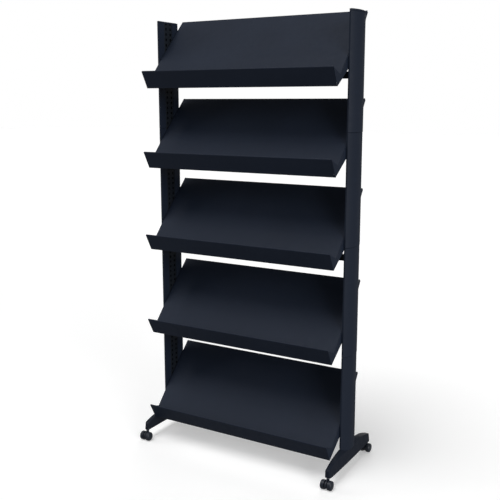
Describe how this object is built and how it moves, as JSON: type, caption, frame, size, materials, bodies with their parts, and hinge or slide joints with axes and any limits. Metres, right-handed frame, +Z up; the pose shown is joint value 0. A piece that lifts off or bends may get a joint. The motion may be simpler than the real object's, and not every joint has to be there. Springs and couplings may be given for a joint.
{
  "type": "newspaper rack",
  "caption": "Mobile display rack: inclined sheet-steel shelves with upturned lips, hung between two D-section columns on feet with twin-wheel swivel casters.",
  "frame": {"origin": "on the floor, midway between the columns, under the middle of the whole rack; that is 10 mm in front of the columns' middle plane, as the casters trail forward", "axes": "+X along the shelves to the right as seen from the front, -Y toward the reader, +Z up"},
  "size_m": [0.8552, 0.393, 1.6701],
  "materials": {
    "column_plastic": "fine-grained satin, near-black slate",
    "cap_plastic": "fine-grained satin, near-black slate",
    "foot_paint": "satin powder coat",
    "rail_paint": "satin powder coat",
    "shelf_paint": "satin powder coat with a fine texture",
    "bracket_paint": "satin powder coat with a fine texture",
    "bar_paint": "satin powder coat",
    "screw_black": "black oxide",
    "zinc_steel": "bright zinc",
    "caster_wheel": "moulded nylon, semi-gloss black",
    "caster_body": "moulded nylon, satin black"
  },
  "bodies": {
    "rack_frame": {"bottom_shelf": "shelf_paint", "bottom_shelf_left_bracket": "bracket_paint", "bottom_shelf_right_bracket": "bracket_paint", "caster_sockets": "zinc_steel", "cross_bar_nuts": "zinc_steel", "cross_bar_screws": "screw_black", "foot_screws": "screw_black", "front_left_caster_stem": "zinc_steel", "front_right_caster_stem": "zinc_steel", "left_column_cap": "cap_plastic", "left_column_foot_section": "column_plastic", "left_column_lower_section": "column_plastic", "left_column_top_section": "column_plastic", "left_column_upper_section": "column_plastic", "left_foot": "foot_paint", "left_rail": "rail_paint", "lower_cross_bar": "bar_paint", "lower_shelf": "shelf_paint", "lower_shelf_left_bracket": "bracket_paint", "lower_shelf_right_bracket": "bracket_paint", "middle_shelf": "shelf_paint", "middle_shelf_left_bracket": "bracket_paint", "middle_shelf_right_bracket": "bracket_paint", "rear_left_caster_stem": "zinc_steel", "rear_right_caster_stem": "zinc_steel", "right_column_cap": "cap_plastic", "right_column_foot_section": "column_plastic", "right_column_lower_section": "column_plastic", "right_column_top_section": "column_plastic", "right_column_upper_section": "column_plastic", "right_foot": "foot_paint", "right_rail": "rail_paint", "shelf_bracket_nuts": "zinc_steel", "top_shelf": "shelf_paint", "top_shelf_left_bracket": "bracket_paint", "top_shelf_right_bracket": "bracket_paint", "upper_cross_bar": "bar_paint", "upper_shelf": "shelf_paint", "upper_shelf_left_bracket": "bracket_paint", "upper_shelf_right_bracket": "bracket_paint"},
    "front_left_caster": {"front_left_caster_body": "caster_body", "front_left_caster_axle": "zinc_steel"},
    "front_left_inner_wheel": {"front_left_caster_inner_wheel": "caster_wheel"},
    "front_left_outer_wheel": {"front_left_caster_outer_wheel": "caster_wheel"},
    "front_right_caster": {"front_right_caster_body": "caster_body", "front_right_caster_axle": "zinc_steel"},
    "front_right_inner_wheel": {"front_right_caster_inner_wheel": "caster_wheel"},
    "front_right_outer_wheel": {"front_right_caster_outer_wheel": "caster_wheel"},
    "rear_left_caster": {"rear_left_caster_body": "caster_body", "rear_left_caster_axle": "zinc_steel"},
    "rear_left_inner_wheel": {"rear_left_caster_inner_wheel": "caster_wheel"},
    "rear_left_outer_wheel": {"rear_left_caster_outer_wheel": "caster_wheel"},
    "rear_right_caster": {"rear_right_caster_body": "caster_body", "rear_right_caster_axle": "zinc_steel"},
    "rear_right_inner_wheel": {"rear_right_caster_inner_wheel": "caster_wheel"},
    "rear_right_outer_wheel": {"rear_right_caster_outer_wheel": "caster_wheel"}
  },
  "joints": [
    {"name": "front_left_swivel", "type": "hinge", "parent": "rack_frame", "child": "front_left_caster", "pos_m": [-0.405, -0.169, 0.031], "axis": [0, 0, 1], "continuous": true},
    {"name": "front_left_inner_wheel_spin", "type": "hinge", "parent": "front_left_caster", "child": "front_left_inner_wheel", "pos_m": [-0.405, -0.179, 0.0175], "axis": [1, 0, 0], "continuous": true},
    {"name": "front_left_outer_wheel_spin", "type": "hinge", "parent": "front_left_caster", "child": "front_left_outer_wheel", "pos_m": [-0.405, -0.179, 0.0175], "axis": [1, 0, 0], "continuous": true},
    {"name": "front_right_swivel", "type": "hinge", "parent": "rack_frame", "child": "front_right_caster", "pos_m": [0.405, -0.169, 0.031], "axis": [0, 0, 1], "continuous": true},
    {"name": "front_right_inner_wheel_spin", "type": "hinge", "parent": "front_right_caster", "child": "front_right_inner_wheel", "pos_m": [0.405, -0.179, 0.0175], "axis": [1, 0, 0], "continuous": true},
    {"name": "front_right_outer_wheel_spin", "type": "hinge", "parent": "front_right_caster", "child": "front_right_outer_wheel", "pos_m": [0.405, -0.179, 0.0175], "axis": [1, 0, 0], "continuous": true},
    {"name": "rear_left_swivel", "type": "hinge", "parent": "rack_frame", "child": "rear_left_caster", "pos_m": [-0.405, 0.189, 0.031], "axis": [0, 0, 1], "continuous": true},
    {"name": "rear_left_inner_wheel_spin", "type": "hinge", "parent": "rear_left_caster", "child": "rear_left_inner_wheel", "pos_m": [-0.405, 0.179, 0.0175], "axis": [1, 0, 0], "continuous": true},
    {"name": "rear_left_outer_wheel_spin", "type": "hinge", "parent": "rear_left_caster", "child": "rear_left_outer_wheel", "pos_m": [-0.405, 0.179, 0.0175], "axis": [1, 0, 0], "continuous": true},
    {"name": "rear_right_swivel", "type": "hinge", "parent": "rack_frame", "child": "rear_right_caster", "pos_m": [0.405, 0.189, 0.031], "axis": [0, 0, 1], "continuous": true},
    {"name": "rear_right_inner_wheel_spin", "type": "hinge", "parent": "rear_right_caster", "child": "rear_right_inner_wheel", "pos_m": [0.405, 0.179, 0.0175], "axis": [1, 0, 0], "continuous": true},
    {"name": "rear_right_outer_wheel_spin", "type": "hinge", "parent": "rear_right_caster", "child": "rear_right_outer_wheel", "pos_m": [0.405, 0.179, 0.0175], "axis": [1, 0, 0], "continuous": true}
  ]
}
